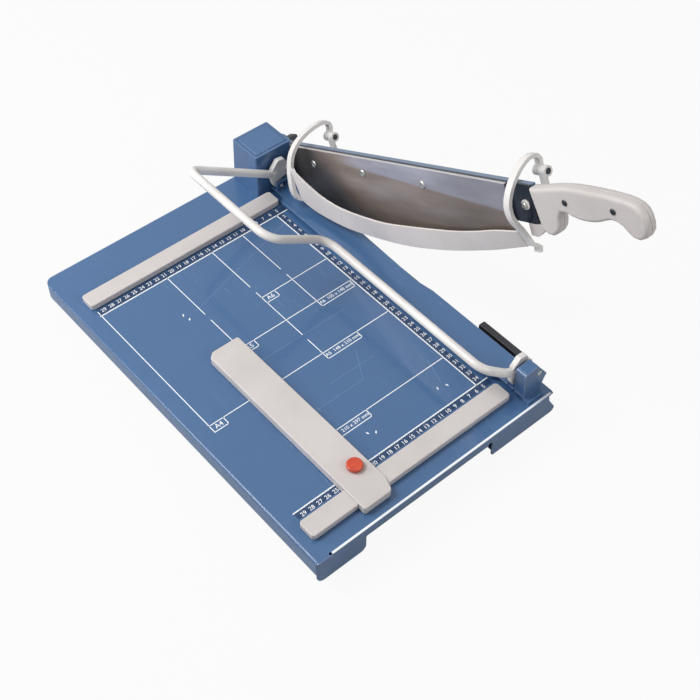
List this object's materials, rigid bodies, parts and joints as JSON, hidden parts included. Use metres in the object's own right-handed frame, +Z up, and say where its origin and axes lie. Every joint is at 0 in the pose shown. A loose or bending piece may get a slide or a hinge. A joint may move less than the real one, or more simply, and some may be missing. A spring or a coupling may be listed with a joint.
{
  "type": "guillotine paper cutter",
  "caption": "Desk guillotine cutter: folded steel table, raised lever arm with curved blade, swinging guard, wire clamp with press plate, stops and sliding backgauge.",
  "frame": {"origin": "middle of the bounding box, on the surface that the feet stand on", "axes": "+Z up, +Y from the handle end towards the pivot end, +X towards the cutting edge"},
  "size_m": [0.359, 0.5396, 0.3355],
  "materials": {
    "blue_paint": "satin",
    "light_plastic": "satin",
    "white_coating": "satin",
    "blade_steel": "ground",
    "zinc_steel": "zinc plated",
    "dark_steel": "satin",
    "black_plastic": "matt",
    "foot_rubber": "matt",
    "orange_plastic": "gloss"
  },
  "bodies": {
    "base": {"bed": "blue_paint", "lower_blade": "blade_steel", "lower_blade_screw_1": "zinc_steel", "lower_blade_screw_2": "zinc_steel", "lower_blade_screw_3": "zinc_steel", "lower_blade_screw_4": "zinc_steel", "foot_front_left": "foot_rubber", "foot_front_right": "foot_rubber", "foot_back_left": "foot_rubber", "foot_back_right": "foot_rubber", "back_fence": "light_plastic", "front_fence": "light_plastic", "pivot_block": "blue_paint", "block_cap": "blue_paint", "pivot_bolt": "dark_steel", "pivot_washer_inner": "zinc_steel", "pivot_washer_outer": "dark_steel", "pivot_nut": "dark_steel", "front_bracket": "blue_paint", "blade_guide": "black_plastic", "guide_bracket": "blue_paint", "clamp_pin_rear": "zinc_steel", "clamp_pin_front": "zinc_steel"},
    "arm": {"arm_bar": "blue_paint", "blade": "blade_steel", "heel_pad": "light_plastic", "blade_screw_1": "zinc_steel", "blade_screw_2": "zinc_steel", "blade_screw_3": "zinc_steel", "hub_washer": "white_coating", "hub_screw": "zinc_steel", "handle_left": "light_plastic", "handle_right": "light_plastic", "handle_rivet_1": "dark_steel", "handle_rivet_2": "dark_steel", "guard_lug_rear": "white_coating", "guard_lug_front": "white_coating", "guard_pin_rear": "dark_steel", "guard_pin_front": "dark_steel"},
    "guard": {"guard_hoop_rear": "white_coating", "guard_hoop_front": "white_coating", "guard_shield": "light_plastic"},
    "clamp": {"clamp_wire": "white_coating", "clamp_lever_rear": "white_coating", "clamp_lever_front": "white_coating"},
    "plate": {"press_plate": "blue_paint"},
    "gauge": {"backgauge": "light_plastic", "gauge_shoe": "zinc_steel"},
    "knob": {"gauge_knob": "orange_plastic"}
  },
  "joints": [
    {"name": "arm_pivot", "type": "hinge", "parent": "base", "child": "arm", "pos_m": [0.13748, 0.24578, 0.071], "axis": [1, 0, 0], "range_deg": [0, 25]},
    {"name": "guard_swing", "type": "hinge", "parent": "arm", "child": "guard", "pos_m": [0.17298, 0.25032, 0.07991], "axis": [0, 0.891, -0.454], "range_deg": [0, 50]},
    {"name": "clamp_press", "type": "hinge", "parent": "base", "child": "clamp", "pos_m": [0.12448, 0.01978, 0.0745], "axis": [0, -1, 0], "range_deg": [0, 18]},
    {"name": "plate_press", "type": "slide", "parent": "base", "child": "plate", "axis": [0, 0, -1], "range_m": [0, 0.0031]},
    {"name": "backgauge_slide", "type": "slide", "parent": "base", "child": "gauge", "axis": [1, 0, 0], "range_m": [-0.055, 0.135]},
    {"name": "knob_turn", "type": "hinge", "parent": "gauge", "child": "knob", "pos_m": [-0.08502, -0.15172, 0], "axis": [0, 0, 1], "range_deg": [-20, 360]}
  ],
  "couplings": [
    {"joint": "guard_swing", "follows": "arm_pivot", "ratio": 1.95},
    {"joint": "plate_press", "follows": "clamp_press", "m_per_rad": 0.0098}
  ]
}
